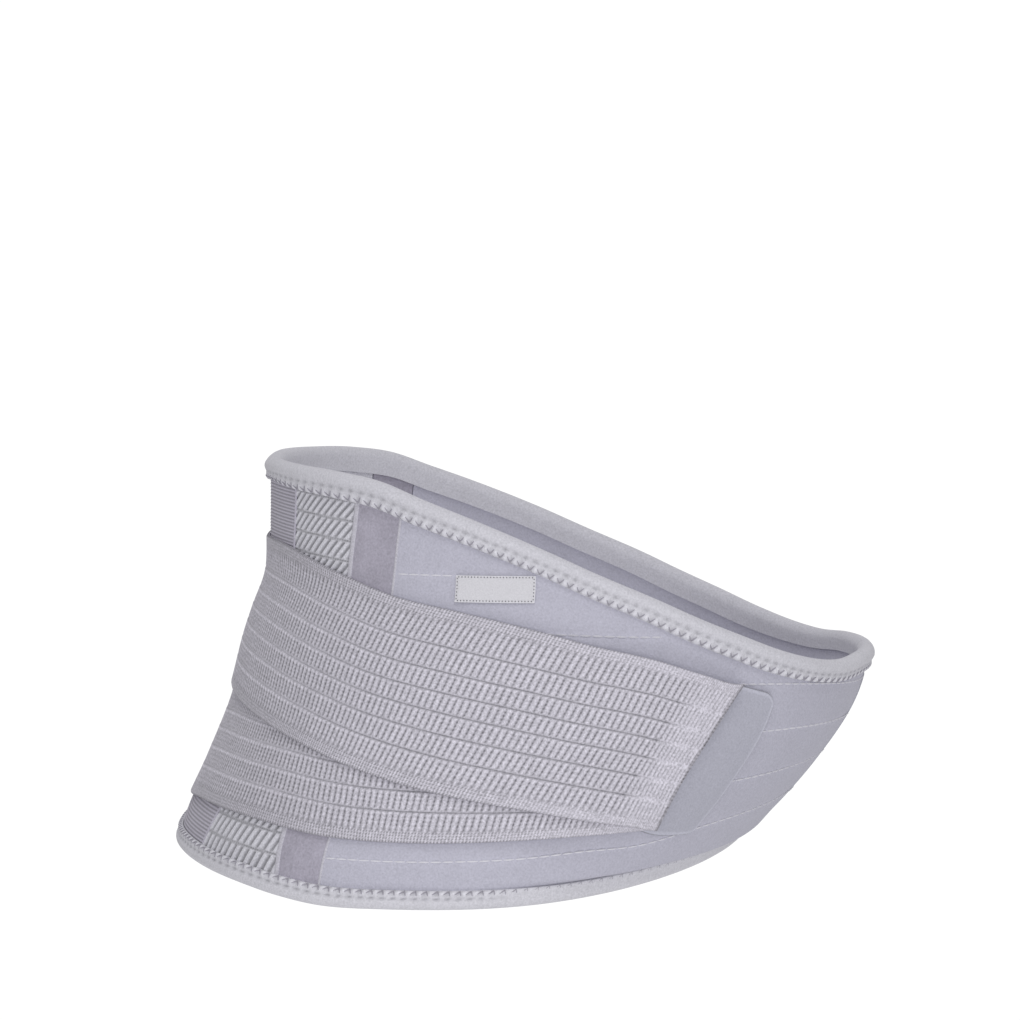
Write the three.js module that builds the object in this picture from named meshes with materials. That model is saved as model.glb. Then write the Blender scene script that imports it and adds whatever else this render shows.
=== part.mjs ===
// A maternity support belt, held in the shape it has when worn: a ribbed back panel, ladder-knit panels and
// stay tapes beside it, foam wings that close under the belly, folded tape round both edges, and two wide
// elastic straps that cross the back and end in felt tabs at the wearer's sides.
// Millimetres. +X is where the wearer faces, -Y the wearer's right and +Z up. The origin is the middle of the hips.
// A place on the belt is a turn round the body and a height. The turn is 0 at the back, 90 at the wearer's
// right, 180 in front and negative on the left.
import * as THREE from 'three';

// Driving sizes
const torsoDepth = 345;
const torsoWidth = 360;
const torsoSquareness = 2.25;
const beltHeight = 204;
const wingWall = 3;
const stayWall = 2.8;
const backWall = 2.4;
const bindingWall = 1;
const topBindingWidth = 12.5;
const topBindingPuff = 1.5;
const bottomBindingWidth = 9.3;
const bottomBindingPuff = 0.8;
const strapWidth = 77;
const strapWall = 1.6;
const tabWall = 1.8;
const tabTopRadius = 8;
const tabBottomRadius = 4;
const labelWidth = 38;
const labelHeight = 12.5;
const labelWall = 0.8;
const closureWidth = 70;
const closureMargin = 2;
const closureRadius = 12;
const closureWall = 1.8;
const seamGap = 0.5;
const layerGap = 0.45;

// The wing bulges over the lower binding in front, so the fabric under the binding lies this much further in.
const wingTuck = 4.5;
const tuckRamp = 3;
const tuckTurns = { from: 90, to: 125 };

// Where the straps and tabs end, in turns. The strap's cut end leans and bows by shares of its turn.
const strapEndTurn = 118;
const strapEndLean = 0.018;
const strapEndBow = 0.097;
const tabStartTurn = 107;
const tabEndTurn = 130.2;

// The upper strap climbs onto the lower one over this much of its height, and both climb onto the tab.
const strapClimb = 24;
const strapClimbMargin = 12;
const tabClimbTurns = 10;

// Faces of the solids
const turnStep = 5;
const backRows = 12;
const wingRows = 9;
const strapRows = 6;
const tipSteps = 3;

// Sections of the body the belt lies on. Heights are shares of beltHeight, back and front reaches shares of
// torsoDepth, sides shares of torsoWidth, and egg says how much wider the back half is than the front half.
const torsoSections = [
  { height: -0.515, back: 0.51, front: 0.255, side: 0.5, egg: 0.03 },
  { height: -0.412, back: 0.504, front: 0.293, side: 0.5, egg: 0.04 },
  { height: -0.324, back: 0.493, front: 0.342, side: 0.497, egg: 0.05 },
  { height: -0.176, back: 0.455, front: 0.42, side: 0.486, egg: 0.07 },
  { height: -0.029, back: 0.42, front: 0.478, side: 0.469, egg: 0.08 },
  { height: 0.118, back: 0.397, front: 0.501, side: 0.447, egg: 0.07 },
  { height: 0.265, back: 0.371, front: 0.504, side: 0.425, egg: 0.05 },
  { height: 0.412, back: 0.368, front: 0.501, side: 0.408, egg: 0.03 },
  { height: 0.588, back: 0.368, front: 0.487, side: 0.397, egg: 0.02 },
];

// The belt's edges round one side, as shares of beltHeight
const topEdgeRows = [
  { turn: 0, height: 0.558 },
  { turn: 15, height: 0.563 },
  { turn: 30, height: 0.559 },
  { turn: 44, height: 0.55 },
  { turn: 54, height: 0.531 },
  { turn: 62, height: 0.495 },
  { turn: 70, height: 0.458 },
  { turn: 84, height: 0.385 },
  { turn: 94, height: 0.327 },
  { turn: 105, height: 0.267 },
  { turn: 113, height: 0.221 },
  { turn: 121, height: 0.18 },
  { turn: 130, height: 0.138 },
  { turn: 140, height: 0.107 },
  { turn: 148, height: 0.096 },
  { turn: 160, height: 0.101 },
  { turn: 180, height: 0.103 },
];
const bottomEdgeRows = [
  { turn: 0, height: -0.38 },
  { turn: 22, height: -0.379 },
  { turn: 32, height: -0.386 },
  { turn: 46, height: -0.402 },
  { turn: 55, height: -0.417 },
  { turn: 64, height: -0.43 },
  { turn: 78, height: -0.434 },
  { turn: 101, height: -0.434 },
  { turn: 123, height: -0.4255 },
  { turn: 140, height: -0.407 },
  { turn: 156, height: -0.388 },
  { turn: 180, height: -0.373 },
];

// The seams beside the stay tapes run down in a slight bow. Turns at heights that are shares of beltHeight.
const seamRows = [
  { height: -0.4, back: 28, stayBack: 54.6, stayFront: 63.8 },
  { height: -0.27, back: 30, stayBack: 51.4, stayFront: 61.2 },
  { height: 0, back: 30, stayBack: 48.6, stayFront: 58.4 },
  { height: 0.27, back: 28.2, stayBack: 46.4, stayFront: 56.3 },
  { height: 0.48, back: 29.3, stayBack: 48.5, stayFront: 58.2 },
];

// The straps' routes: middle lines as shares of beltHeight, and how the elastic spreads as shares of strapWidth
const upperStrapRows = [
  { turn: 0, middle: 0.176, width: 0.896 },
  { turn: 28, middle: 0.156, width: 0.971 },
  { turn: 44, middle: 0.118, width: 1 },
  { turn: 58, middle: 0.075, width: 1.022 },
  { turn: 70, middle: 0.041, width: 1.038 },
  { turn: 84, middle: 0.004, width: 1.018 },
  { turn: 95, middle: -0.026, width: 0.977 },
  { turn: 106, middle: -0.054, width: 0.944 },
  { turn: 113, middle: -0.0745, width: 0.899 },
  { turn: 122, middle: -0.097, width: 0.862 },
];
const lowerStrapRows = [
  { turn: 0, middle: -0.088, width: 1.04 },
  { turn: 20, middle: -0.072, width: 1.026 },
  { turn: 40, middle: -0.08, width: 1 },
  { turn: 62, middle: -0.094, width: 1 },
  { turn: 90, middle: -0.098, width: 0.961 },
  { turn: 110, middle: -0.103, width: 0.857 },
  { turn: 122, middle: -0.112, width: 0.775 },
];
const tabRows = [
  { turn: 106, middle: -0.056, width: 0.86 },
  { turn: 122, middle: -0.107, width: 0.899 },
  { turn: 131, middle: -0.122, width: 0.849 },
];

// The label's middle
const labelTurn = 75.7;
const labelMiddle = 0.291;

// A smooth curve through the rows of a table: a cubic between two rows, with a parabola's slope at each row.
// With flat ends the slope is 0 at the first and last row.
function curveThrough(rows, along, value, flatEnds) {
  const xs = rows.map((row) => row[along]);
  const ys = rows.map((row) => row[value]);
  const last = rows.length - 1;
  const steps = xs.slice(1).map((x, i) => x - xs[i]);
  const rises = steps.map((step, i) => (ys[i + 1] - ys[i]) / step);
  const slopes = xs.map((x, i) => {
    if (i === 0) {
      return flatEnds ? 0 : rises[0];
    }
    if (i === last) {
      return flatEnds ? 0 : rises[last - 1];
    }
    return (rises[i - 1] * steps[i] + rises[i] * steps[i - 1]) / (steps[i - 1] + steps[i]);
  });
  return (at) => {
    const x = THREE.MathUtils.clamp(at, xs[0], xs[last]);
    const i = Math.min(xs.findLastIndex((start) => start <= x), last - 1);
    const share = (x - xs[i]) / steps[i];
    const rest = 1 - share;
    const bend = (slopes[i] - rises[i]) * rest - (slopes[i + 1] - rises[i]) * share;
    return ys[i] * rest + ys[i + 1] * share + share * rest * steps[i] * bend;
  };
}

// The same distance from the back on either side
function sideTurn(turn) {
  const around = THREE.MathUtils.euclideanModulo(turn, 360);
  return Math.min(around, 360 - around);
}

// A curve over the turn that is the same on both sides of the body, in shares of a size
function roundTheBody(rows, value, size) {
  const curve = curveThrough(rows, 'turn', value, true);
  return (turn) => size * curve(sideTurn(turn));
}

function upTheBody(value) {
  return curveThrough(torsoSections, 'height', value, false);
}

const backReach = upTheBody('back');
const frontReach = upTheBody('front');
const sideReach = upTheBody('side');
const egg = upTheBody('egg');
const topEdge = roundTheBody(topEdgeRows, 'height', beltHeight);
const bottomEdge = roundTheBody(bottomEdgeRows, 'height', beltHeight);

// The body: a rounded oval at each height
function torso(turn, height) {
  const share = height / beltHeight;
  const back = torsoDepth * backReach(share);
  const front = torsoDepth * frontReach(share);
  const side = torsoWidth * sideReach(share);
  const cos = Math.cos(THREE.MathUtils.degToRad(turn));
  const sin = Math.sin(THREE.MathUtils.degToRad(turn));
  const sum = Math.abs(cos) ** torsoSquareness + Math.abs(sin) ** torsoSquareness;
  const round = sum ** (-1 / torsoSquareness);
  const x = (front - back) / 2 - ((front + back) / 2) * round * cos;
  const y = -side * round * sin * (1 + egg(share) * cos);
  return new THREE.Vector3(x, y, height);
}

// How far the fabric is tucked in at its lower edge
function tuck(turn, height) {
  const inFront = THREE.MathUtils.smoothstep(sideTurn(turn), tuckTurns.from, tuckTurns.to);
  const aboveBinding = height - bottomEdge(turn) - bottomBindingWidth;
  return wingTuck * inFront * (1 - THREE.MathUtils.smoothstep(aboveBinding, 0, tuckRamp));
}

// A point at a place on the belt, so far outward from the outer face of its panels
function place(turn, height, outward) {
  const reach = 0.5;
  const across = torso(turn + reach, height).sub(torso(turn - reach, height));
  const up = torso(turn, height + reach).sub(torso(turn, height - reach));
  const normal = across.cross(up).normalize();
  return torso(turn, height).addScaledVector(normal, outward - tuck(turn, height));
}

// The turn that a length takes up round the body there
function turnOf(length, turn, height) {
  return length / torso(turn + 0.5, height).distanceTo(torso(turn - 0.5, height));
}

// A closed body between an outer and an inner grid of points, each a list of columns that follow the turn.
// A row runs up its column where it faces outward.
function shell(outer, inner) {
  const columns = outer.length;
  const rows = outer[0].length;
  const points = [...outer.flat(), ...inner.flat()];
  const outside = (i, j) => i * rows + j;
  const inside = (i, j) => columns * rows + outside(i, j);
  const faces = [];
  const quad = (a, b, c, d) => faces.push(a, b, c, a, c, d);
  for (let i = 0; i < columns - 1; i += 1) {
    for (let j = 0; j < rows - 1; j += 1) {
      quad(outside(i, j), outside(i + 1, j), outside(i + 1, j + 1), outside(i, j + 1));
      quad(inside(i, j), inside(i, j + 1), inside(i + 1, j + 1), inside(i + 1, j));
    }
    quad(outside(i, 0), inside(i, 0), inside(i + 1, 0), outside(i + 1, 0));
    quad(outside(i, rows - 1), outside(i + 1, rows - 1), inside(i + 1, rows - 1), inside(i, rows - 1));
  }
  for (let j = 0; j < rows - 1; j += 1) {
    quad(outside(0, j), outside(0, j + 1), inside(0, j + 1), inside(0, j));
    quad(outside(columns - 1, j), inside(columns - 1, j), inside(columns - 1, j + 1), outside(columns - 1, j + 1));
  }
  const geometry = new THREE.BufferGeometry();
  geometry.setAttribute('position', new THREE.Float32BufferAttribute(points.flatMap((p) => p.toArray()), 3));
  geometry.setIndex(faces);
  geometry.computeVertexNormals();
  return geometry;
}

// A sheet of one thickness over a grid of places, each { turn, height, outward } at its outer face
function sheet(places, wall) {
  const faceAt = (depth) =>
    places.map((column) => column.map((at) => place(at.turn, at.height, at.outward - depth)));
  return shell(faceAt(0), faceAt(wall));
}

// Even steps from one number to another, with a largest step
function spread(from, to, largest) {
  const count = Math.max(1, Math.ceil(Math.abs(to - from) / largest - 1e-6));
  return Array.from({ length: count + 1 }, (_, i) => from + ((to - from) * i) / count);
}

// Panels stop this far inside the belt's edges, where the binding's fold begins to round.
const bindingHalf = wingWall / 2 + layerGap + bindingWall;

// The heights of a panel's rows: close together under and just above the lower binding, then even
function panelHeights(turn, rows) {
  const low = bottomEdge(turn) + bindingHalf;
  const tuckStart = bottomEdge(turn) + bottomBindingWidth;
  const tuckRows = [tuckStart, tuckStart + tuckRamp / 2, tuckStart + tuckRamp];
  const high = topEdge(turn) - bindingHalf;
  const evenStart = tuckStart + tuckRamp;
  const even = Array.from({ length: rows }, (_, i) => evenStart + ((high - evenStart) * (i + 1)) / rows);
  return [low, ...tuckRows, ...even];
}

// A panel between two seams. A seam gives its turn at a height.
function panel(fromSeam, toSeam, rows, wall) {
  const middle = (fromSeam(0) + toSeam(0)) / 2;
  const half = turnOf(seamGap, middle, 0) / 2;
  const shares = spread(0, 1, turnStep / (toSeam(0) - fromSeam(0)));
  const places = shares.map((share) => panelColumn(fromSeam, toSeam, share, half, rows));
  return sheet(places, wall);
}

// One column of a panel. The row's height depends on the turn and the turn on the height, so both settle in turns.
function panelColumn(fromSeam, toSeam, share, half, rows) {
  const turnAt = (height) => (fromSeam(height) + half) * (1 - share) + (toSeam(height) - half) * share;
  return Array.from({ length: rows + 4 }, (_, row) => {
    let height = 0;
    for (let pass = 0; pass < 6; pass += 1) {
      height = panelHeights(turnAt(height), rows)[row];
    }
    return { turn: turnAt(height), height, outward: 0 };
  });
}

function seam(name, side) {
  const curve = curveThrough(seamRows, 'height', name, false);
  return (height) => side * curve(height / beltHeight);
}

// How much longer an edge of the belt is than the way round the body below it
function slant(edge, turn) {
  const reach = 0.5;
  const rise = edge(turn + reach) - edge(turn - reach);
  return Math.hypot(1, rise * turnOf(1, turn, edge(turn)));
}

// Folded tape over an edge of the belt. Its open loop ends in front, behind the closure. The fold puffs out
// more than the legs. up is 1 along the top edge and -1 along the bottom one.
function binding(edge, width, puff, up) {
  const innerFace = -wingWall - layerGap;
  const middle = -wingWall / 2;
  const fold = (radius) =>
    Array.from({ length: tipSteps + 1 }, (_, i) => {
      const angle = (Math.PI * i) / tipSteps;
      return { outward: middle + radius * Math.cos(angle), past: -bindingHalf - puff + radius * Math.sin(angle) };
    });
  const outerPath = [
    { outward: layerGap + bindingWall, past: -width },
    ...fold(bindingHalf + puff),
    { outward: innerFace - bindingWall, past: -width },
  ];
  const innerPath = [
    { outward: layerGap, past: -width },
    ...fold(bindingHalf + puff - bindingWall),
    { outward: innerFace, past: -width },
  ];
  const last = 180 - turnOf(seamGap, 180, 0) / 2;
  const turns = spread(-last, last, turnStep);
  const along = (path) => (up > 0 ? path : path.toReversed());
  const grid = (path) =>
    turns.map((turn) => {
      const taller = up * slant(edge, turn);
      return along(path).map((at) => place(turn, edge(turn) + taller * at.past, at.outward));
    });
  return shell(grid(outerPath), grid(innerPath));
}

// The straps
const upperMiddle = roundTheBody(upperStrapRows, 'middle', beltHeight);
const upperWidth = roundTheBody(upperStrapRows, 'width', strapWidth);
const lowerMiddle = roundTheBody(lowerStrapRows, 'middle', beltHeight);
const lowerWidth = roundTheBody(lowerStrapRows, 'width', strapWidth);

// How far the tab under a strap's end lifts it. The lift is whole one face before the tab begins.
function liftOverTab(turn) {
  const full = tabStartTurn - turnStep;
  return (tabWall + layerGap) * THREE.MathUtils.smoothstep(sideTurn(turn), full - tabClimbTurns, full);
}

// How far the lower strap lifts the upper one
function liftOverLowerStrap(turn, height) {
  const full = lowerMiddle(turn) + lowerWidth(turn) / 2 + strapClimbMargin;
  return (strapWall + layerGap) * (1 - THREE.MathUtils.smoothstep(height, full, full + strapClimb));
}

function strap(middle, width, lift) {
  const shares = spread(-0.5, 0.5, 1 / strapRows);
  const turns = spread(-strapEndTurn, strapEndTurn, turnStep);
  const places = turns.map((column) =>
    shares.map((share) => {
      const turn = column * (1 + strapEndLean * share + strapEndBow * share * share);
      const height = middle(turn) + width(turn) * share;
      return { turn, height, outward: layerGap + strapWall + lift(turn, height) };
    }),
  );
  return sheet(places, strapWall);
}

// How much a rounded corner takes off an edge, at a distance from the end
function cornerDrop(distance, radius) {
  const into = Math.max(0, radius - distance);
  return radius - Math.sqrt(radius * radius - into * into);
}

// Distances from a rounded end at which its columns stand
function cornerSteps(radius) {
  return [0, 0.06, 0.25, 0.6, 1].map((share) => share * radius);
}

function tab(side) {
  const middle = roundTheBody(tabRows, 'middle', beltHeight);
  const width = roundTheBody(tabRows, 'width', strapWidth);
  const perLength = turnOf(1, tabEndTurn, middle(tabEndTurn));
  const cornerTurns = cornerSteps(tabTopRadius).map((step) => tabEndTurn - step * perLength);
  const straight = spread(tabStartTurn, cornerTurns.at(-1), turnStep).slice(0, -1);
  const turns = [...straight, ...cornerTurns.toReversed()];
  const shares = spread(0, 1, 1 / strapRows);
  const places = turns.map((turn) => {
    const fromEnd = (tabEndTurn - turn) / perLength;
    const high = middle(turn) + width(turn) / 2 - cornerDrop(fromEnd, tabTopRadius);
    const low = middle(turn) - width(turn) / 2 + cornerDrop(fromEnd, tabBottomRadius);
    return shares.map((share) => ({
      turn: side * turn,
      height: low + (high - low) * share,
      outward: layerGap + tabWall,
    }));
  });
  return sheet(side > 0 ? places : places.toReversed(), tabWall);
}

// The patch over the wings' ends in front, between the top binding and the tuck
function closure() {
  const top = topEdge(180) - topBindingWidth - closureMargin;
  const bottom = bottomEdge(180) + bottomBindingWidth + tuckRamp + closureMargin;
  const perLength = turnOf(1, 180, (top + bottom) / 2);
  const half = closureWidth / 2;
  const corner = cornerSteps(closureRadius).map((step) => half - step);
  const flat = spread(-corner.at(-1), corner.at(-1), turnStep / perLength).slice(1, -1);
  const offsets = [...corner.map((offset) => -offset), ...flat, ...corner.toReversed()];
  const shares = spread(0, 1, 1 / strapRows);
  const places = offsets.map((offset) => {
    const drop = cornerDrop(half - Math.abs(offset), closureRadius);
    return shares.map((share) => ({
      turn: 180 + offset * perLength,
      height: bottom + drop + (top - bottom - 2 * drop) * share,
      outward: layerGap + closureWall,
    }));
  });
  return sheet(places, closureWall);
}

function label() {
  const middle = beltHeight * labelMiddle;
  const halfTurn = turnOf(labelWidth / 2, labelTurn, middle);
  const turns = spread(labelTurn - halfTurn, labelTurn + halfTurn, turnStep / 2);
  const heights = [middle - labelHeight / 2, middle + labelHeight / 2];
  const places = turns.map((turn) =>
    heights.map((height) => ({ turn, height, outward: layerGap + labelWall })),
  );
  return sheet(places, labelWall);
}

// Finishes
function finish(color, roughness) {
  return new THREE.MeshStandardMaterial({ color, roughness, metalness: 0 });
}

const ribbedKnit = finish('#928e9c', 0.95);
const ladderKnit = finish('#a5a4ac', 0.9);
const velour = finish('#a19daa', 1);
const foamLaminate = finish('#b2b1be', 0.95);
const edgeTape = finish('#bebdc6', 0.85);
const elastic = finish('#b5b3be', 0.85);
const felt = finish('#a9a9b6', 1);
const labelSatin = finish('#cdc8d0', 0.6);

const belt = new THREE.Group();
belt.name = 'maternity_support_belt';

function add(name, geometry, material) {
  const mesh = new THREE.Mesh(geometry, material);
  mesh.name = name;
  belt.add(mesh);
}

add('centre_back_panel', panel(seam('back', -1), seam('back', 1), backRows, backWall), ribbedKnit);
add('mesh_panel_right', panel(seam('back', 1), seam('stayBack', 1), backRows, backWall), ladderKnit);
add('mesh_panel_left', panel(seam('stayBack', -1), seam('back', -1), backRows, backWall), ladderKnit);
add('stay_tape_right', panel(seam('stayBack', 1), seam('stayFront', 1), backRows, stayWall), velour);
add('stay_tape_left', panel(seam('stayFront', -1), seam('stayBack', -1), backRows, stayWall), velour);
add('wing_right', panel(seam('stayFront', 1), () => 180, wingRows, wingWall), foamLaminate);
add('wing_left', panel(() => -180, seam('stayFront', -1), wingRows, wingWall), foamLaminate);
add('top_binding', binding(topEdge, topBindingWidth, topBindingPuff, 1), edgeTape);
add('bottom_binding', binding(bottomEdge, bottomBindingWidth, bottomBindingPuff, -1), edgeTape);
add('lower_strap', strap(lowerMiddle, lowerWidth, liftOverTab), elastic);
const upperLift = (turn, height) => liftOverTab(turn) + liftOverLowerStrap(turn, height);
add('upper_strap', strap(upperMiddle, upperWidth, upperLift), elastic);
add('strap_tab_right', tab(1), felt);
add('strap_tab_left', tab(-1), felt);
add('front_closure', closure(), felt);
add('label', label(), labelSatin);

export default belt;
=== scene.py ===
import math
from itertools import pairwise

import bpy
import numpy as np
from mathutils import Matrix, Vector


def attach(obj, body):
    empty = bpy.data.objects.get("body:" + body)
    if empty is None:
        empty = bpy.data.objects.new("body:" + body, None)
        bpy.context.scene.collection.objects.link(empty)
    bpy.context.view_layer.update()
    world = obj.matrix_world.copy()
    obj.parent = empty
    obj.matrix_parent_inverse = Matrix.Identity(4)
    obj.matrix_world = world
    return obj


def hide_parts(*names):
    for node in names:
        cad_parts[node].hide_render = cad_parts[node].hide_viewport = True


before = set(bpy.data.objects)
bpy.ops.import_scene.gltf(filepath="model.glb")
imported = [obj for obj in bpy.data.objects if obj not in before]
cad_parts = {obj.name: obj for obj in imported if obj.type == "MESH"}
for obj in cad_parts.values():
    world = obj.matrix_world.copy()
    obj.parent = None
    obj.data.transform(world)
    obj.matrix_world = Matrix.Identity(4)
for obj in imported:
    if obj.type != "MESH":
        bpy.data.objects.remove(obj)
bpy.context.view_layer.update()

# The belt's sizes in millimetres. A place on it is a turn round the body, 0 at the back, 90 at the wearer's
# right and 180 in front, with the left side negative, and a height over the middle of the hips.
MM = 0.001
SIDES = ((1, "right"), (-1, "left"))
TORSO_DEPTH = 345
TORSO_WIDTH = 360
TORSO_SQUARENESS = 2.25
BELT_HEIGHT = 204
WING_WALL = 3
STAY_WALL = 2.8
BACK_WALL = 2.4
BINDING_WALL = 1
TOP_BINDING_WIDTH = 12.5
TOP_BINDING_PUFF = 1.5
BOTTOM_BINDING_WIDTH = 9.3
BOTTOM_BINDING_PUFF = 0.8
STRAP_WIDTH = 77
STRAP_WALL = 1.6
TAB_WALL = 1.8
TAB_TOP_RADIUS = 8
TAB_BOTTOM_RADIUS = 4
LABEL_WIDTH = 38
LABEL_HEIGHT = 12.5
LABEL_WALL = 0.8
CLOSURE_WIDTH = 70
CLOSURE_MARGIN = 2
CLOSURE_RADIUS = 12
CLOSURE_WALL = 1.8
CLOSURE_SINK = 2.1
CLOSURE_SLACK = 0.15
SEAM_GAP = 0.5
LAYER_GAP = 0.45
WING_TUCK = 4.5
TUCK_RAMP = 3
TUCK_FROM = 90
TUCK_TO = 125
STRAP_END = 118
TAB_START = 107
TAB_END = 130.2
STRAP_CLIMB = 24
STRAP_CLIMB_MARGIN = 12
TAB_CLIMB = 10
TAB_LIFT_FULL = 102
LABEL_TURN = 75.7
LABEL_MIDDLE = 0.291
BINDING_HALF = WING_WALL / 2 + LAYER_GAP + BINDING_WALL
BACK_HEIGHT = BELT_HEIGHT * 0.93
WING_HEIGHT = BELT_HEIGHT * 0.85

# The elastic's weave, with the distances of mesh rows from a line. The pairs are distances from the cut end
# over which the fine end weave stops, the stretch sets in, the back begins and the painted shade of the cut
# end fades.
END_WEAVE = (11, 28)
STRETCHED = (20, 110)
BEHIND = (130, 240)
CUT_END = (0.3, 2.2)
RIB_STEPS = 4
RIB_DEPTH = 0.55
SLIT_SHADE = 0.62
BEAD = 1.75
LINE_DEPTH = 0.45
LINE_SHADE = 0.6
LINE_ROWS = (0.45, 1.1, 2.2)
SELVAGE = 6.6
SELVAGE_ROW = 1.3
SELVAGE_DEPTH = 0.25
END_STITCHES = (6, 24)
STRAP_LINES = (0.214, 0.352, 0.467, 0.577, 0.692, 0.813)
BAND_EDGES = np.array([SELVAGE, *(STRAP_WIDTH * share for share in STRAP_LINES), STRAP_WIDTH - SELVAGE])
BAND_SHIFTS = (0, 0.5, 0.25, 0.75, 0.25, 0.75, 0.5)

# The ladder knit, whose rows start at a turn and fall towards the front, the ribbed knit, and the crown and
# ripple of the other panels
LADDER_ROW = 9.635
LADDER_TOP = 101.9
LADDER_START = 30
LADDER_MIDDLE = 40.0
LADDER_FALL = 0.2
LADDER_PITCH = 5.7
LADDER_SHIFT = 0.37
LADDER_SLIT = (0.5, 1.8)
LADDER_DEPTH = 0.9
LADDER_LINE_DEPTH = 0.7
LADDER_DOT = 1.9
KNIT_RIB = 1.65
KNIT_RIB_STEPS = 4
KNIT_RIB_DEPTH = 0.3
WELT_WALL = 0.4
STAY_CROWN = 0.25
STAY_RIPPLE = 0.08
WING_RIPPLE = 0.18

# Stitches, and how far they shape the tape that they hold
STITCH_STEPS = 6
THREAD = 0.36
THREAD_TIP = 0.45
TAPE_PRESS = 0.35
PUFF = 0.8
TROUGH = 0.35
DENT = 1.0
SCALLOP = 0.5
PLAIN_FADE = 0.85
PLAIN_RAMP = 14
QUILT_THREAD = 0.5
QUILT_DASH = 5
QUILT_GAP = 0.7
QUILT_LEAST = 4
QUILT_DEPTH = 0.15
LABEL_INSET = 0.75
LABEL_STITCH = 1.5
LABEL_THREAD = 0.34

# The meshes' columns and rows, the points at which a way round the belt is measured, and a felt patch's
# columns from its end and its rows as shares of its height
KNIT_COLUMNS = 48
LADDER_COLUMNS = 90
LADDER_ROWS = 270
STAY_COLUMNS = 24
STAY_ROWS = 90
WING_COLUMNS = 180
WING_ROW = 1.6
RUN_STEPS = 1500
PATCH_ENDS = (0, 0.15, 0.4, 0.8, 1.4, 2.2, 3.2, 4.4)
PATCH_ROWS = np.concatenate([[0, 0.004, 0.01, 0.02], np.linspace(0.035, 0.965, 48), [0.98, 0.99, 0.996, 1]])


def table(columns, *rows):
    """Rows of numbers under named columns."""
    return dict(zip(columns.split(), np.array(rows, float).T))


# Sections of the body. Heights are shares of the belt's height, back and front of the torso's depth, side
# of its width. Egg says how much wider the back half is.
TORSO = table(
    "height back front side egg",
    (-0.515, 0.51, 0.255, 0.5, 0.03),
    (-0.412, 0.504, 0.293, 0.5, 0.04),
    (-0.324, 0.493, 0.342, 0.497, 0.05),
    (-0.176, 0.455, 0.42, 0.486, 0.07),
    (-0.029, 0.42, 0.478, 0.469, 0.08),
    (0.118, 0.397, 0.501, 0.447, 0.07),
    (0.265, 0.371, 0.504, 0.425, 0.05),
    (0.412, 0.368, 0.501, 0.408, 0.03),
    (0.588, 0.368, 0.487, 0.397, 0.02),
)
TOP_EDGE = table(
    "turn height",
    (0, 0.558), (15, 0.563), (30, 0.559), (44, 0.55), (54, 0.531), (62, 0.495), (70, 0.458), (84, 0.385),
    (94, 0.327), (105, 0.267), (113, 0.221), (121, 0.18), (130, 0.138), (140, 0.107), (148, 0.096),
    (160, 0.101), (180, 0.103),
)
BOTTOM_EDGE = table(
    "turn height",
    (0, -0.38), (22, -0.379), (32, -0.386), (46, -0.402), (55, -0.417), (64, -0.43), (78, -0.434),
    (101, -0.434), (123, -0.4255), (140, -0.407), (156, -0.388), (180, -0.373),
)
SEAMS = table(
    "height back stay_back stay_front",
    (-0.4, 28, 54.6, 63.8),
    (-0.27, 30, 51.4, 61.2),
    (0, 30, 48.6, 58.4),
    (0.27, 28.2, 46.4, 56.3),
    (0.48, 29.3, 48.5, 58.2),
)

# Middle lines as shares of the belt's height, widths as shares of the strap's width
UPPER_STRAP = table(
    "turn middle width",
    (0, 0.187, 0.954), (28, 0.167, 1.029), (44, 0.122, 1.025), (58, 0.074, 1.018), (70, 0.041, 1.038),
    (84, 0.004, 1.018), (95, -0.026, 0.977), (106, -0.054, 0.944), (113, -0.0745, 0.899),
    (122, -0.097, 0.862),
)
LOWER_STRAP = table(
    "turn middle width",
    (0, -0.071, 1.04), (20, -0.055, 1.026), (40, -0.063, 1), (62, -0.088, 1), (90, -0.098, 0.961),
    (110, -0.103, 0.857), (122, -0.112, 0.775),
)
TAB = table("turn middle width", (106, -0.056, 0.86), (122, -0.107, 0.899), (131, -0.122, 0.849))

# How far the elastic's ribs lean forward and bow over the strap's width, in turns
UPPER_RIBS = table(
    "turn lean bow",
    (0, 0, 0), (35, 1, 3), (52, 4, 4.5), (61, 5.5, 6), (72, 6.3, 6), (84, 6, 6), (103, 4, 6.5),
    (118, 2.12, 11.45),
)
LOWER_RIBS = table(
    "turn lean bow",
    (0, 0, 0), (35, -3, 2), (52, -7.5, 5), (61, -7.5, 6.5), (72, -6, 6.5), (84, -6, 6.5), (103, -2, 7),
    (118, 0.7, 7),
)

# The elastic's ribs are closest together before its cut end, and wider apart where it is stretched most
RIB_PITCH = table(
    "from_end length",
    (0, 1.9), (14, 1.95), (30, 3.05), (50, 3.15), (85, 3.45), (125, 3.3), (180, 3.2), (240, 3),
)

# The zigzag's stitches are longest where the tape is pulled least
STITCH_LENGTH = table("turn length", (0, 7), (40, 7), (56, 6), (75, 5.2), (90, 5.2), (125, 6), (180, 6.2))

# The points of one such stitch on the upper tape: how much of it is sewn there, and how far up the tape
ZIGZAG = table("stitch rise", (0.13, 2.2), (0.31, 1.2), (0.5, 0.35), (0.63, 1.7), (0.76, 3.1))

# The upper tape is folded over further at the hips than in front, as a share of its width
TOP_TAPE = table(
    "turn share",
    (0, 0.88), (19, 0.88), (30, 0.97), (45, 1.04), (76, 0.98), (98, 0.93), (125, 0.93), (144, 0.85),
    (180, 0.85),
)
BOTTOM_TAPE = table("turn share", (0, 1), (180, 1))

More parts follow.
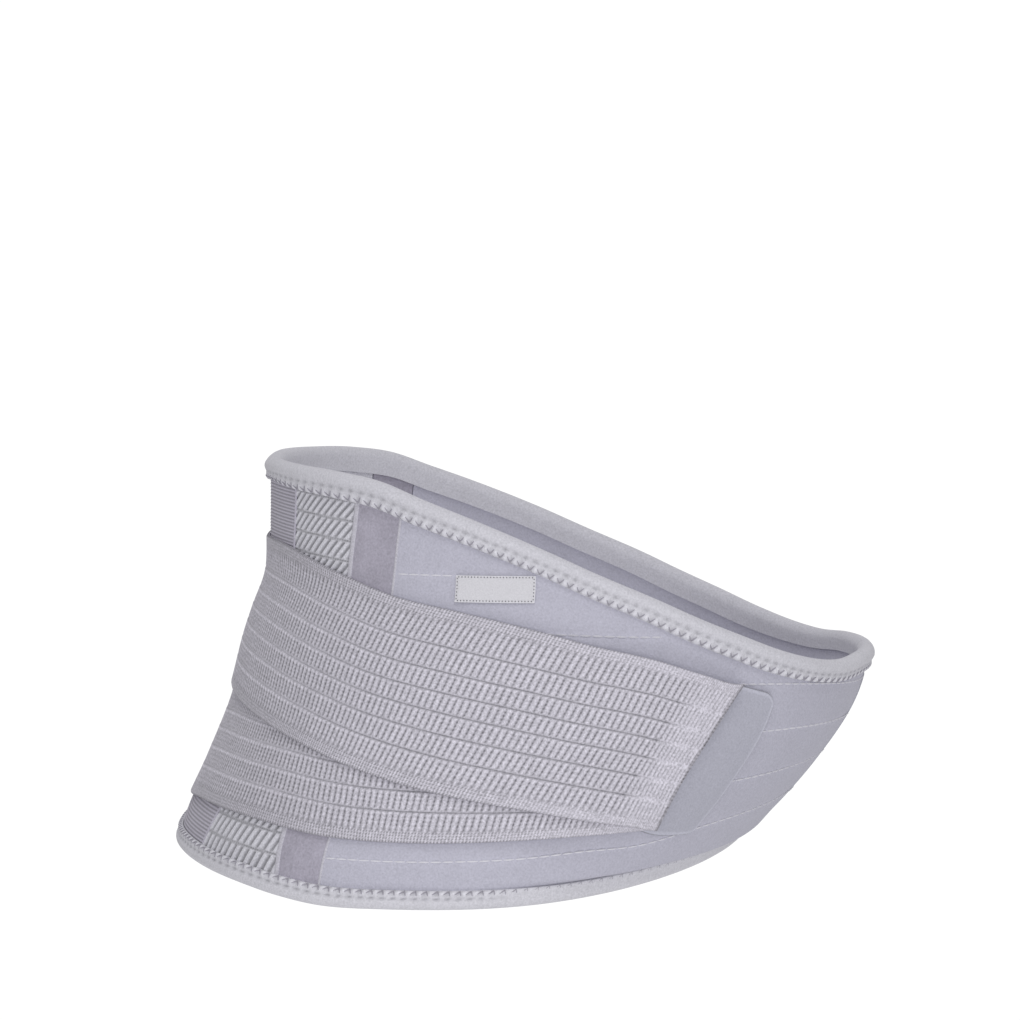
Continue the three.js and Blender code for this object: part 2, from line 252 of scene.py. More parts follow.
# Rows of quilting across a wing, as shares of the belt's height
QUILTING = (
    table("turn height", (57.4, 0.321), (69, 0.321)),
    table("turn height", (62, 0.196), (84, 0.191), (107, 0.181)),
    table("turn height", (100, 0.071), (127, 0.061), (160, 0.032), (169, 0.03)),
    table("turn height", (100, -0.048), (132, -0.0515), (153, -0.056), (169, -0.057)),
    table("turn height", (100, -0.17), (132, -0.165), (154, -0.149), (169, -0.145)),
    table("turn height", (62.6, -0.3225), (86, -0.3235), (99, -0.3185), (110, -0.307), (121, -0.301),
          (132, -0.273), (146, -0.2505), (169, -0.236)),
)


def curve_through(rows, along, value, flat_ends):
    """A smooth curve through a table's rows: cubics between them, with a parabola's slope at each row."""
    xs, ys = rows[along], rows[value]
    steps = np.diff(xs)
    rises = np.diff(ys) / steps
    slopes = np.zeros(len(xs))
    slopes[1:-1] = (rises[:-1] * steps[1:] + rises[1:] * steps[:-1]) / (steps[:-1] + steps[1:])
    if not flat_ends:
        slopes[0] = rises[0]
        slopes[-1] = rises[-1]

    def curve(at):
        x = np.clip(at, xs[0], xs[-1])
        i = np.clip(np.searchsorted(xs, x, side="right") - 1, 0, len(steps) - 1)
        share = (x - xs[i]) / steps[i]
        rest = 1 - share
        bend = (slopes[i] - rises[i]) * rest - (slopes[i + 1] - rises[i]) * share
        return ys[i] * rest + ys[i + 1] * share + share * rest * steps[i] * bend

    return curve


def side_turn(turn):
    """The same distance from the back on either side."""
    around = np.mod(turn, 360)
    return np.minimum(around, 360 - around)


def round_the_body(rows, value, size):
    """A curve through a table's rows on either side of the body, times a size."""
    curve = curve_through(rows, "turn", value, True)
    return lambda turn: size * curve(side_turn(turn))


def smooth_step(value, low, high):
    share = np.clip((value - low) / (high - low), 0, 1)
    return share * share * (3 - 2 * share)


def hump(distance, reach):
    """A soft bump: 1 at no distance, and nearly 0 at twice the reach."""
    return np.exp(-((distance / reach) ** 2))


def swell(repeat):
    """A wave over a repeating pattern: 0 where a repeat starts and 1 in its middle."""
    return 0.5 - 0.5 * np.cos(2 * math.pi * repeat)


def spread(start, end, largest):
    """Even steps from one number to another, with a largest step."""
    return np.linspace(start, end, max(1, math.ceil(abs(end - start) / largest - 1e-6)) + 1)


back_reach, front_reach, side_reach, egg = (
    curve_through(TORSO, "height", name, False) for name in ("back", "front", "side", "egg")
)
top_edge = round_the_body(TOP_EDGE, "height", BELT_HEIGHT)
bottom_edge = round_the_body(BOTTOM_EDGE, "height", BELT_HEIGHT)
upper_middle = round_the_body(UPPER_STRAP, "middle", BELT_HEIGHT)
upper_width = round_the_body(UPPER_STRAP, "width", STRAP_WIDTH)
lower_middle = round_the_body(LOWER_STRAP, "middle", BELT_HEIGHT)
lower_width = round_the_body(LOWER_STRAP, "width", STRAP_WIDTH)


def torso(turn, height):
    """The body, a rounded oval at each height."""
    share = height / BELT_HEIGHT
    back = TORSO_DEPTH * back_reach(share)
    front = TORSO_DEPTH * front_reach(share)
    side = TORSO_WIDTH * side_reach(share)
    cos = np.cos(np.radians(turn))
    sin = np.sin(np.radians(turn))
    square = np.abs(cos) ** TORSO_SQUARENESS + np.abs(sin) ** TORSO_SQUARENESS
    round_off = square ** (-1 / TORSO_SQUARENESS)
    x = (front - back) / 2 - (front + back) / 2 * round_off * cos
    y = -side * round_off * sin * (1 + egg(share) * cos)
    return np.stack([x, y, height + 0 * x], axis=-1)


def tuck(turn, height):
    """How far the wing is tucked in under its lower tape."""
    in_front = smooth_step(side_turn(turn), TUCK_FROM, TUCK_TO)
    above_tape = height - bottom_edge(turn) - BOTTOM_BINDING_WIDTH
    return WING_TUCK * in_front * (1 - smooth_step(above_tape, 0, TUCK_RAMP))


def place(turn, height, outward):
    """Points on the belt, so far outward from the outer face of its panels."""
    turn, height, outward = np.broadcast_arrays(turn, height, np.asarray(outward, float))
    reach = 0.5
    across = torso(turn + reach, height) - torso(turn - reach, height)
    up = torso(turn, height + reach) - torso(turn, height - reach)
    away = np.cross(across, up)
    away = away / np.linalg.norm(away, axis=-1, keepdims=True)
    return torso(turn, height) + away * (outward - tuck(turn, height))[..., None]


def turns_in(length, turn, height):
    """The turn that a length takes up round the body there."""
    return length / np.linalg.norm(torso(turn + 0.5, height) - torso(turn - 0.5, height), axis=-1)


def lengths_along(points):
    """How far along a row of points each of them is."""
    return np.concatenate([[0], np.cumsum(np.linalg.norm(np.diff(points, axis=0), axis=1))])


def repeat_columns(turns, run, length, steps):
    """Turns at which a mesh's columns stand, so many steps for each repeat of a pattern, and the repeat
    that each is at. Repeats have their own length at each point of the run, which holds a whole number."""
    counted = np.concatenate([[0], np.cumsum(np.diff(run) / length[1:])])
    count = round(counted[-1])
    repeat = np.linspace(0, count, count * steps + 1)
    return np.interp(repeat, counted * count / counted[-1], turns), repeat


def both_sides(values, sign):
    """Values from the back to one end, with those of the other side before them."""
    return np.concatenate([sign * values[:0:-1], values])


def seam(name, side):
    """The turn of a seam at a height."""
    curve = curve_through(SEAMS, "height", name, False)
    return lambda height: side * curve(height / BELT_HEIGHT)


def front_end(side):
    """The turn at which the wings meet under the belly."""
    return lambda height: side * 180 + 0 * height


def in_turn_order(side, first, last):
    """A panel's first and last seam come in the order of the turn, so the left side's are swapped."""
    return (first, last) if side > 0 else (last, first)


# Meshes
def quads(a, b, c, d):
    """Faces between four equal grids of point numbers."""
    return np.stack([a, b, c, d], axis=-1).reshape(-1, 4)


def note_on_points(mesh, name, values):
    """A number on each of a mesh's points, which its finish reads."""
    noted = mesh.attributes.new(name, "FLOAT", "POINT")
    noted.data.foreach_set("value", np.broadcast_to(values, len(mesh.vertices)).astype(np.float32))


def make_piece(name, points, faces, tone, finish):
    """A smooth mesh of these points in millimetres and these faces, with a tone on each point."""
    mesh = bpy.data.meshes.new(name)
    sizes = np.concatenate([np.full(len(group), group.shape[1]) for group in faces])
    corners = np.concatenate([group.ravel() for group in faces])
    mesh.vertices.add(len(points))
    mesh.vertices.foreach_set("co", (points * MM).astype(np.float32).ravel())
    mesh.loops.add(len(corners))
    mesh.loops.foreach_set("vertex_index", corners.astype(np.int32))
    mesh.polygons.add(len(sizes))
    mesh.polygons.foreach_set("loop_start", (np.cumsum(sizes) - sizes).astype(np.int32))
    mesh.update(calc_edges=True)
    mesh.validate()
    mesh.shade_smooth()
    mesh.set_sharp_from_angle(angle=math.radians(60))
    note_on_points(mesh, "tone", tone)
    mesh.materials.append(finish)
    piece = bpy.data.objects.new(name, mesh)
    bpy.context.scene.collection.objects.link(piece)
    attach(piece, "root")
    return piece


def shell(name, outer, inner, tone, finish):
    """A closed body between two grids of points, each [column, row, xyz]. Columns follow the turn and rows
    run up. The inner grid may be coarser: its columns stand at every so many of the outer one's."""
    columns, rows = outer.shape[:2]
    skip = (columns - 1) // (inner.shape[0] - 1)
    out = np.arange(columns * rows).reshape(columns, rows)
    back = columns * rows + np.arange(inner.shape[0] * rows).reshape(-1, rows)
    run = np.arange(0, columns - 1, skip)[:, None] + np.arange(skip + 1)
    faces = [
        quads(out[:-1, :-1], out[1:, :-1], out[1:, 1:], out[:-1, 1:]),
        quads(back[:-1, :-1], back[:-1, 1:], back[1:, 1:], back[1:, :-1]),
        quads(out[0, :-1], out[0, 1:], back[0, 1:], back[0, :-1]),
        quads(out[-1, :-1], back[-1, :-1], back[-1, 1:], out[-1, 1:]),
        np.column_stack([back[:-1, 0], back[1:, 0], out[run, 0][:, ::-1]]),
        np.column_stack([out[run, -1], back[1:, -1], back[:-1, -1]]),
    ]
    points = np.concatenate([outer.reshape(-1, 3), inner.reshape(-1, 3)])
    tones = np.concatenate([np.broadcast_to(tone, (columns, rows)).ravel(), np.ones(inner[..., 0].size)])
    return make_piece(name, points, faces, tones, finish)


def cloth(name, turn, height, outward, wall, tone, finish, skip=1):
    """A sheet of one thickness. The relief is on its outer face alone."""
    turn, height, outward = np.broadcast_arrays(turn, height, outward)
    inside = np.broadcast_to(wall, turn.shape)[::skip]
    outer = place(turn, height, outward)
    inner = place(turn[::skip], height[::skip], -inside)
    return shell(name, outer, inner, tone, finish)


def rim(distance, radius):
    """How far a soft edge rounds down, at a distance from it."""
    into = np.clip(radius - distance, 0, radius)
    return radius - np.sqrt(radius * radius - into * into)


def threads(name, strands, radius, tone, finish, sides=5):
    """Thin threads with closed, tapered ends, one for each list of points."""
    points, faces, first = [], [], 0
    angles = np.arange(sides) * 2 * math.pi / sides
    for strand in strands:
        along = np.gradient(strand, axis=0)
        along = along / np.linalg.norm(along, axis=1, keepdims=True)
        flat = np.cross(along, np.array([0.3, 0.5, 0.8]))
        flat = flat / np.linalg.norm(flat, axis=1, keepdims=True)
        side = np.cross(along, flat)
        thick = np.full(len(strand), radius)
        thick[[0, -1]] = radius * THREAD_TIP
        ring = np.cos(angles)[:, None, None] * flat + np.sin(angles)[:, None, None] * side
        grid = strand + ring * thick[:, None]
        index = first + np.arange(sides * len(strand)).reshape(sides, -1)
        after = np.roll(index, -1, axis=0)
        points.append(grid.reshape(-1, 3))
        faces.append(quads(index[:, :-1], after[:, :-1], after[:, 1:], index[:, 1:]))
        faces.append(index[::-1, 0][None, :])
        faces.append(index[:, -1][None, :])
        first += sides * len(strand)
    return make_piece(name, np.concatenate(points), faces, tone, finish)


# Finishes
def linear(red, green, blue):
    """A colour as the eye reads it, 0 to 255, in the shader's own numbers."""
    shares = np.array((red, green, blue)) / 255
    return tuple(np.where(shares <= 0.04045, shares / 12.92, ((shares + 0.055) / 1.055) ** 2.4))


class Wire:
    """A value that flows between shader nodes. Arithmetic on it adds Math nodes."""

    def __init__(self, finish, socket):
        self.finish = finish
        self.socket = socket

    def math(self, operation, first, second):
        return self.finish.node("ShaderNodeMath", {"operation": operation}, {0: first, 1: second})

    def __add__(self, other):
        return self.math("ADD", self, other)

    def __sub__(self, other):
        return self.math("SUBTRACT", self, other)

    def __mul__(self, other):
        return self.math("MULTIPLY", self, other)

    __radd__ = __add__
    __rmul__ = __mul__


class Finish:
    """A material made of nodes."""

    def __init__(self, name):
        self.material = bpy.data.materials.new(name)
        self.material.use_nodes = True
        self.tree = self.material.node_tree
        self.tree.nodes.clear()

    def node(self, kind, settings, inputs, output=0):
        made = self.tree.nodes.new(kind)
        for setting, value in settings.items():
            setattr(made, setting, value)
        for name, value in inputs.items():
            if isinstance(value, Wire):
                self.tree.links.new(value.socket, made.inputs[name])
            else:
                made.inputs[name].default_value = value
        return Wire(self, made.outputs[output])

    def surface(self, inputs):
        """The cloth's surface itself, from these inputs."""
        shader = self.node("ShaderNodeBsdfPrincipled", {}, inputs)
        output = self.tree.nodes.new("ShaderNodeOutputMaterial")
        self.tree.links.new(shader.socket, output.inputs["Surface"])
        return self.material

    def speckle(self, size, detail):
        """Noise from -1 to 1 with grains of this size in millimetres."""
        where = self.node("ShaderNodeTexCoord", {}, {}, "Object")
        grains = {"Vector": where, "Scale": 1 / (size * MM), "Detail": detail, "Roughness": 0.6}
        return self.node("ShaderNodeTexNoise", {}, grains) * 2 - 1


def fabric(name, colour, heather, fibre, cloud=0.04, rough=0.9, sheen=0.15, nap=0.35, beads=0):
    """Cloth of one colour with a fibre grain, faint clouds and the tone that each point of its mesh has.
    Beads break up the painted shade of its slits, by a wave whose angle each point has."""
    finish = Finish(name)
    tone = finish.node("ShaderNodeAttribute", {"attribute_name": "tone"}, {}, "Fac")
    if beads:
        angle = finish.node("ShaderNodeAttribute", {"attribute_name": "beads"}, {}, "Fac")
        wave = finish.node("ShaderNodeMath", {"operation": "SINE"}, {0: angle})
        tone = (tone - 1) * (wave * beads + 1) + 1
    fibres = finish.speckle(fibre, 3)
    clouds = finish.speckle(14, 2)
    shade = tone * (fibres * heather + clouds * cloud + 1)
    base = finish.node("ShaderNodeVectorMath", {"operation": "SCALE"}, {0: linear(*colour), "Scale": shade})
    relief = {"Strength": nap, "Distance": fibre * MM * 0.5, "Height": fibres}
    normal = finish.node("ShaderNodeBump", {}, relief)
    return finish.surface({
        "Base Color": base,
        "Roughness": rough,
        "Specular IOR Level": 0.2,
        "Sheen Weight": sheen,
        "Sheen Roughness": 0.5,
        "Normal": normal,
    })


RIBBED_KNIT = fabric("ribbed_knit", (184, 180, 194), 0.35, 0.8)
LADDER_KNIT = fabric("ladder_knit", (212, 211, 220), 0.5, 0.9)
VELOUR = fabric("stay_velour", (165, 161, 175), 0.36, 1.2, cloud=0.2, sheen=0.3)
FOAM = fabric("foam_laminate", (183, 182, 196), 0.26, 1)
TAPE = fabric("edge_tape", (204, 203, 211), 0.3, 1)
WELT = fabric("welt", (188, 186, 196), 0.4, 0.8)
ELASTIC = fabric("elastic", (208, 205, 216), 0.7, 1, beads=0.22)
FELT = fabric("felt", (174, 174, 187), 0.26, 0.9, sheen=0.3)
SATIN = fabric("label_satin", (208, 207, 213), 0.2, 0.6, rough=0.7)
PALE_THREAD = fabric("pale_thread", (212, 211, 219), 0.03, 0.5)
# The zigzag's stitches are real; their colour, darker than the tape, is painted shade of the grooves they
# pull in.
GROOVE_SHADE_THREAD = fabric("groove_shade_thread", (156, 153, 164), 0.05, 0.5)
GREY_THREAD = fabric("grey_thread", (84, 82, 92), 0.05, 0.5)


# Back panels
def panel_grid(from_seam, to_seam, columns, above, part):
    """Turns and heights of a panel between two seams. A row is a length above the panel's lower end and a
    part of the height that is left over the last such length. Turn and height settle together."""
    across = np.linspace(0, 1, columns + 1)[:, None]
    middle = (from_seam(0.0) + to_seam(0.0)) / 2
    half = turns_in(SEAM_GAP, middle, 0.0) / 2
    height = np.zeros((columns + 1, len(above)))
    for _ in range(8):
        turn = (from_seam(height) + half) * (1 - across) + (to_seam(height) - half) * across
        low = bottom_edge(turn) + BINDING_HALF
        high = top_edge(turn) - BINDING_HALF
        height = low + above + (high - low - above[-1]) * part
    return turn, height


def even_rows(count):
    """Rows of a panel as its grid takes them, all even."""
    return np.zeros(count + 1), np.linspace(0, 1, count + 1)


def centre_back():
    """The ribbed panel over the small of the back, with a welt along either seam."""
    rows = round(BACK_HEIGHT / KNIT_RIB) * KNIT_RIB_STEPS
    turn, height = panel_grid(seam("back", -1), seam("back", 1), KNIT_COLUMNS, *even_rows(rows))
    crown = swell(np.arange(rows + 1) / KNIT_RIB_STEPS)
    relief = KNIT_RIB_DEPTH * (crown - 1)
    # Painted shade in the grooves between the ribs and a painted highlight on their crowns.
    tone = 0.52 + 0.64 * crown
    piece = cloth(
        "centre_back_knit", turn, height, relief, BACK_WALL, tone, RIBBED_KNIT, skip=4,
    )
    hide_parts("centre_back_panel")
    welts = [
        welt(f"knit_welt_{name}", seam("back", side), 1.6, 0.3, 0.5 * side, RIBBED_KNIT)
        for side, name in SIDES
    ]


def ladder_relief(turn, height):
    """Slanted slits in rows, with a dotted line between rows."""
    per_length = turns_in(1, LADDER_MIDDLE, 0.0)
    along = side_turn(turn) / per_length
    level = LADDER_TOP - LADDER_FALL * (side_turn(turn) - LADDER_START) - height
    row = np.floor(level / LADDER_ROW)
    within = level - row * LADDER_ROW
    from_line = np.minimum(within, LADDER_ROW - within)
    lean = (0.23 + 0.002 * height) / per_length
    shifted = (along + lean * (within - LADDER_ROW / 2)) / LADDER_PITCH + row * LADDER_SHIFT
    off_slit = np.abs(np.mod(shifted, 1) - 0.5) * LADDER_PITCH
    slit = (1 - smooth_step(off_slit, *LADDER_SLIT)) * smooth_step(from_line, 0.4, 1.3)
    dots = 0.8 + 0.2 * np.cos(2 * math.pi * along / LADDER_DOT)
    line = hump(from_line, 0.55) * dots
    relief = -LADDER_DEPTH * slit - LADDER_LINE_DEPTH * line
    # Painted shade darkens the sunk slits and the sunk lines between rows.
    tone = 1 - 0.55 * slit - 0.7 * line
    return relief, tone


def ladder_panel(side, name):
    """A ladder-knit panel beside the centre back."""
    seams = in_turn_order(side, seam("back", side), seam("stay_back", side))
    turn, height = panel_grid(*seams, LADDER_COLUMNS, *even_rows(LADDER_ROWS))
    relief, tone = ladder_relief(turn, height)
    piece = cloth(
        f"ladder_knit_{name}", turn, height, relief, BACK_WALL, tone, LADDER_KNIT, skip=6,
    )
    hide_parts(f"mesh_panel_{name}")


def stay_tape(side, name):
    """The dark velour tape that holds the stays, with a welt along either seam."""
    seams = in_turn_order(side, seam("stay_back", side), seam("stay_front", side))
    turn, height = panel_grid(*seams, STAY_COLUMNS, *even_rows(STAY_ROWS))
    across = np.linspace(-1, 1, STAY_COLUMNS + 1)[:, None]
    relief = STAY_CROWN * (1 - across**2) + STAY_RIPPLE * np.sin(height / 7 + 2 * across)
    piece = cloth(f"stay_velour_{name}", turn, height, relief, STAY_WALL, 1.0, VELOUR, skip=2)
    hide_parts(f"stay_tape_{name}")
    welts = [
        welt(f"stay_welt_back_{name}", seam("stay_back", side), 3, 0.7, -0.2 * side, WELT),
        welt(f"stay_welt_front_{name}", seam("stay_front", side), 1.5, 0.4, 0, WELT),
    ]


def welt(name, at_seam, width, tall, offset, finish):
    """A narrow raised cord of knit beside a seam, from the lower tape to the upper one."""
    across = np.linspace(-0.5, 0.5, 7)[:, None]
    middle = at_seam(0.0)
    low = bottom_edge(middle) + BINDING_HALF
    high = top_edge(middle) - BINDING_HALF
    height = spread(low, high, 2)[None, :]
    turn = at_seam(height) + (across * width + offset) * turns_in(1, at_seam(height), height)
    crown = tall * np.sqrt(np.maximum(0, 1 - (2 * across) ** 2))
    return cloth(name, turn, height, crown, WELT_WALL, 1.0, finish)


# Wings
def closure_ends():
    """Heights of the closure's upper and lower edge."""
    top = top_edge(180.0) - TOP_BINDING_WIDTH - CLOSURE_MARGIN
    bottom = bottom_edge(180.0) + BOTTOM_BINDING_WIDTH + TUCK_RAMP + CLOSURE_MARGIN
    return top, bottom


def closure_bed(turn, height):
    """How far the foam is pressed in under the closure, which so lies flush with it."""
    top, bottom = closure_ends()
    beside = (180 - side_turn(turn)) / turns_in(1, 180.0, (top + bottom) / 2) - CLOSURE_WIDTH / 2
    outside = np.maximum(beside, np.maximum(height - top, bottom - height))
    return (CLOSURE_SINK - LAYER_GAP + CLOSURE_SLACK) * (1 - smooth_step(outside, 0.2, 2))


def quilt_lines():
    """Each row of quilting: its first and last turn and its height at a turn."""
    for rows in QUILTING:
        yield rows["turn"][0], rows["turn"][-1], round_the_body(rows, "height", BELT_HEIGHT)


def wing_rows():
    """A wing's rows: close together where it is tucked in, at lengths above its lower end, then even."""
    tucked = BOTTOM_BINDING_WIDTH + TUCK_RAMP - BINDING_HALF
    fixed = spread(0, tucked, 1)
    shares = spread(0, 1, WING_ROW / WING_HEIGHT)[1:]
    above = np.concatenate([fixed, np.full(len(shares), tucked)])
    return above, np.concatenate([np.zeros(len(fixed)), shares])


def wing(side, name):
    """A foam wing round the hip and under the belly, pressed in along its quilting."""
    seams = in_turn_order(side, seam("stay_front", side), front_end(side))
    turn, height = panel_grid(*seams, WING_COLUMNS, *wing_rows())
    around = side_turn(turn)
    relief = WING_RIPPLE * np.sin(around / 6.1 + height / 17) * np.sin(height / 11 - around / 13)
    tone = np.ones(turn.shape)
    for start, end, at in quilt_lines():
        beside = hump(height - at(around), 1.5) * smooth_step(around, start - 1, start + 1)
        beside = beside * (1 - smooth_step(around, end - 1, end + 1))
        relief = relief - QUILT_DEPTH * beside
        tone = tone + 0.08 * beside
    above_tape = height - bottom_edge(turn) - BOTTOM_BINDING_WIDTH
    # Painted shadow along the crease where the wing bulges over its lower tape in front.
    tone = tone - 0.45 * smooth_step(around, TUCK_FROM, TUCK_TO) * hump(above_tape, 0.9)
    relief = relief - closure_bed(turn, height)
    piece = cloth(f"wing_foam_{name}", turn, height, relief, WING_WALL, tone, FOAM, skip=4)
    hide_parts(f"wing_{name}")
    quilting(side, name)


def quilting(side, name):
    """Dashes of thread along the rows of quilting."""
    strands = []
    for start, end, at in quilt_lines():
        turns = np.linspace(start, end, 1 + round((end - start) * 2))
        points = place(side * turns, at(turns), 0)
        run = lengths_along(points)
        for first in np.arange(0, run[-1] - QUILT_LEAST, QUILT_DASH + QUILT_GAP):
            stops = spread(first, min(first + QUILT_DASH, run[-1]), 1.7)
            strands.append(np.column_stack([np.interp(stops, run, points[:, axis]) for axis in range(3)]))
    return threads(f"quilting_{name}", strands, QUILT_THREAD, 1.0, PALE_THREAD, sides=4)


# Elastic straps
def rib_columns(middle):
    """Turns at which a strap's columns stand, the rib that each is at and how far the cut end is."""
    turns = np.linspace(0, STRAP_END, RUN_STEPS)
    run = lengths_along(place(turns, middle(turns), LAYER_GAP + STRAP_WALL))
    from_end = run[-1] - run
    pitch = curve_through(RIB_PITCH, "from_end", "length", True)(from_end)
    column, rib = repeat_columns(turns, run, pitch, RIB_STEPS)
    end = np.interp(column, turns, from_end)
    return [both_sides(values, sign)[:, None] for values, sign in ((column, -1), (rib, 1), (end, 1))]


def strap_rows(plain_above):
    """Distances of a strap's rows from its upper edge: close together beside its lines and in its selvages.
    Above one such distance, where another strap covers it, only coarse rows are left."""
    rows = [0, 0.25, *np.arange(SELVAGE_ROW / 2, SELVAGE - 0.1, SELVAGE_ROW / 2)]
    rows += [STRAP_WIDTH - distance for distance in rows]
    first, second, third = LINE_ROWS
    for upper, lower in pairwise(BAND_EDGES):
        rows += [upper, upper + first, upper + second, lower - second, lower - first]
        rows += [*spread(upper + third, lower - third, 2)]
    fine = [distance for distance in rows if distance >= plain_above]
    coarse = spread(0, STRAP_WIDTH, 6)[:-1] if plain_above else []
    return np.unique(np.round([*coarse, *fine], 4))


def elastic_relief(rib, from_end, down):
    """Puffy slanted ribs between lengthwise lines, a finer weave in the selvages and before the cut end."""
    lines = BAND_EDGES[1:-1]
    from_line = np.min(np.abs(down[..., None] - lines), axis=-1)
    below_line = np.min(np.where(lines > down[..., None], 1e3, down[..., None] - lines), axis=-1)
    from_edge = np.minimum(down, STRAP_WIDTH - down)
    shift = np.array(BAND_SHIFTS)[np.searchsorted(lines, down)]
    slit = (1 - swell(rib + shift)) ** 2.2
    body = smooth_step(from_line, 0.3, 1.4) * smooth_step(from_edge, SELVAGE - 2.5, SELVAGE - 0.5)
    fine = 1 - smooth_step(from_end, *END_WEAVE)
    line = hump(from_line, 0.5)
    behind = smooth_step(from_end, *BEHIND)
    ridge = hump(below_line - 1.2, 0.5)
    weave = swell(2 * rib) * (0.7 - 0.3 * np.cos(2 * math.pi * from_edge / SELVAGE_ROW))
    selvage = 1 - smooth_step(from_edge, SELVAGE - 2, SELVAGE)
    relief = -RIB_DEPTH * slit * body * (1 - 0.5 * fine) - LINE_DEPTH * line
    relief = relief - SELVAGE_DEPTH * selvage * weave + 0.1 * ridge - rim(from_edge, 0.7)
    # Painted shade in the sunk slits between the ribs.
    tone = 1 - SLIT_SHADE * slit * body * (1 - 0.45 * fine)
    # Painted shade in the sunk lines, fainter before the cut end and behind the back.
    tone = tone - (LINE_SHADE - 0.64 * fine - 0.38 * behind) * line
    slack = 1 - smooth_step(from_end, *STRETCHED)
    # Painted shade in the selvages' weave, and a painted shadow along the strap's very edges.
    tone = tone - SLIT_SHADE * selvage * weave * (1 - 0.5 * slack) - 0.4 * hump(from_edge, 0.3)
    # Painted highlight along the raised ridge below each line, stronger behind the back.
    tone = tone + (0.06 + 0.2 * behind) * ridge
    for row in END_STITCHES:
        tone = tone - 0.25 * hump(from_end - row, 0.9) * hump(from_line, 1)
    # Painted shade at the cut end, and a little painted shade all along the strap behind the back.
    tone = tone * (0.5 + 0.5 * smooth_step(from_end, *CUT_END)) * (1 - 0.12 * behind)
    return relief, tone


def bead_wave(down):
    """The angle of the beads' wave, with a whole number of beads between two lines."""
    beads = np.concatenate([[0], np.cumsum(np.round(np.diff(BAND_EDGES) / BEAD))])
    return 2 * math.pi * np.interp(down, BAND_EDGES, beads)


def lift_over_tab(turn):
    """How far a strap rises before its end, to lie on the tab."""
    return (TAB_WALL + LAYER_GAP) * smooth_step(side_turn(turn), TAB_LIFT_FULL - TAB_CLIMB, TAB_LIFT_FULL)


def lift_over_lower_strap(turn, height):
    """How far the upper strap rises where it lies on the lower one."""
    full = lower_middle(turn) + lower_width(turn) / 2 + STRAP_CLIMB_MARGIN
    return (STRAP_WALL + LAYER_GAP) * (1 - smooth_step(height, full, full + STRAP_CLIMB))


def strap(name, node, middle, width, ribs, upper, plain_above):
    """A strap from one cut end across the back to the other."""
    column, rib, from_end = rib_columns(middle)
    down = strap_rows(plain_above)[None, :]
    share = 0.5 - down / STRAP_WIDTH
    lean = curve_through(ribs, "turn", "lean", True)
    bow = curve_through(ribs, "turn", "bow", True)
    turn = column + np.sign(column) * (lean(np.abs(column)) * share + bow(np.abs(column)) * share**2)
    height = middle(turn) + width(turn) * share
    relief, tone = elastic_relief(rib, from_end, down)
    lift = lift_over_tab(turn) + (lift_over_lower_strap(turn, height) if upper else 0)
    turn, height, lift, relief, tone = (grid[:, ::-1] for grid in (turn, height, lift, relief, tone))
    face = LAYER_GAP + STRAP_WALL + lift
    outer = place(turn, height, face + relief)
    inner = place(turn[::RIB_STEPS], height[::RIB_STEPS], (face - STRAP_WALL)[::RIB_STEPS])
    piece = shell(name, outer, inner, tone, ELASTIC)
    wave = np.zeros(len(piece.data.vertices))
    wave[: turn.size] = np.broadcast_to(bead_wave(down[:, ::-1]), turn.shape).ravel()
    note_on_points(piece.data, "beads", wave)
    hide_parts(node)


# Tabs, closure and label
def patch(name, turn, low, high, from_end, face, wall, painted_rim_light):
    """A small felt patch sewn on a panel, with a lower and an upper end at each turn. Its rim is rounded,
    with a painted highlight just inside it and painted shade at its very edge, as strong as the last
    argument says."""
    height = low + (high - low) * PATCH_ROWS
    from_rim = np.minimum(np.minimum(height - low, high - height), from_end)
    relief = face - rim(from_rim, 0.6)
    # Painted highlight just inside the rim and painted shade at its very edge.
    tone = 1 + painted_rim_light * (0.3 * hump(from_rim - 1, 0.5) - 0.6 * hump(from_rim, 0.4))
    outer = place(turn, height, relief)
    inner = place(turn, height, face - wall)
    return shell(name, outer, inner, tone, FELT)


def tab(side, name):
    """The felt tab under the ends of both straps."""
    middle = round_the_body(TAB, "middle", BELT_HEIGHT)
    width = round_the_body(TAB, "width", STRAP_WIDTH)
    per_length = turns_in(1, TAB_END, middle(TAB_END))
    steps = np.array([*PATCH_ENDS, 5.8, 7.2, *range(9, 90, 2)])
    steps = steps[steps < (TAB_END - TAB_START) / per_length]
    turns = np.array([TAB_START, *(TAB_END - steps[::-1] * per_length)])[::side, None]
    from_end = (TAB_END - turns) / per_length
    low = middle(turns) - width(turns) / 2 + rim(from_end, TAB_BOTTOM_RADIUS)
    high = middle(turns) + width(turns) / 2 - rim(from_end, TAB_TOP_RADIUS)
    face = LAYER_GAP + TAB_WALL
    piece = patch(f"tab_felt_{name}", side * turns, low, high, from_end, face, TAB_WALL, 1)
    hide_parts(f"strap_tab_{name}")


def closure():
    """The hidden patch over the ends of the wings."""
    top, bottom = closure_ends()
    per_length = turns_in(1, 180.0, (top + bottom) / 2)
    half = CLOSURE_WIDTH / 2
    near = np.array([*PATCH_ENDS, 6, 8, 10, 12]) - half
    offset = np.array([*near, *spread(near[-1], -near[-1], 2)[1:-1], *-near[::-1]])[:, None]
    from_end = half - np.abs(offset)
    drop = rim(from_end, CLOSURE_RADIUS)
    turn = 180 + offset * per_length
    face = LAYER_GAP + CLOSURE_WALL - CLOSURE_SINK
    piece = patch("closure_felt", turn, bottom + drop, top - drop, from_end, face, CLOSURE_WALL, 0)
    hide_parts("front_closure")


